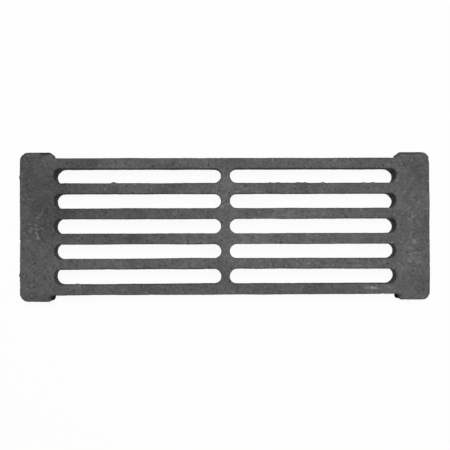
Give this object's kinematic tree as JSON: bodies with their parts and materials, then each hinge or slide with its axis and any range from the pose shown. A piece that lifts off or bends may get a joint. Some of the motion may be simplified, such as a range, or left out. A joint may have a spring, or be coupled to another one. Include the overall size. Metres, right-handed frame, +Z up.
{
  "type": "stove grate",
  "caption": "Flat rectangular cast-iron fire grate: long round-ended slots between parallel bars, tied by a cross rib and wider end plates that lie on a firebox's ledges.",
  "frame": {"origin": "centre of the underside", "axes": "+X along the bars, +Y across them, +Z up from the underside to the fire"},
  "size_m": [0.3298, 0.1196, 0.015],
  "materials": {
    "cast_iron": "bare sand-cast skin, dull neutral grey, fine-grained and slightly pitted"
  },
  "bodies": {
    "root": {"grate": "cast_iron"}
  },
  "joints": []
}
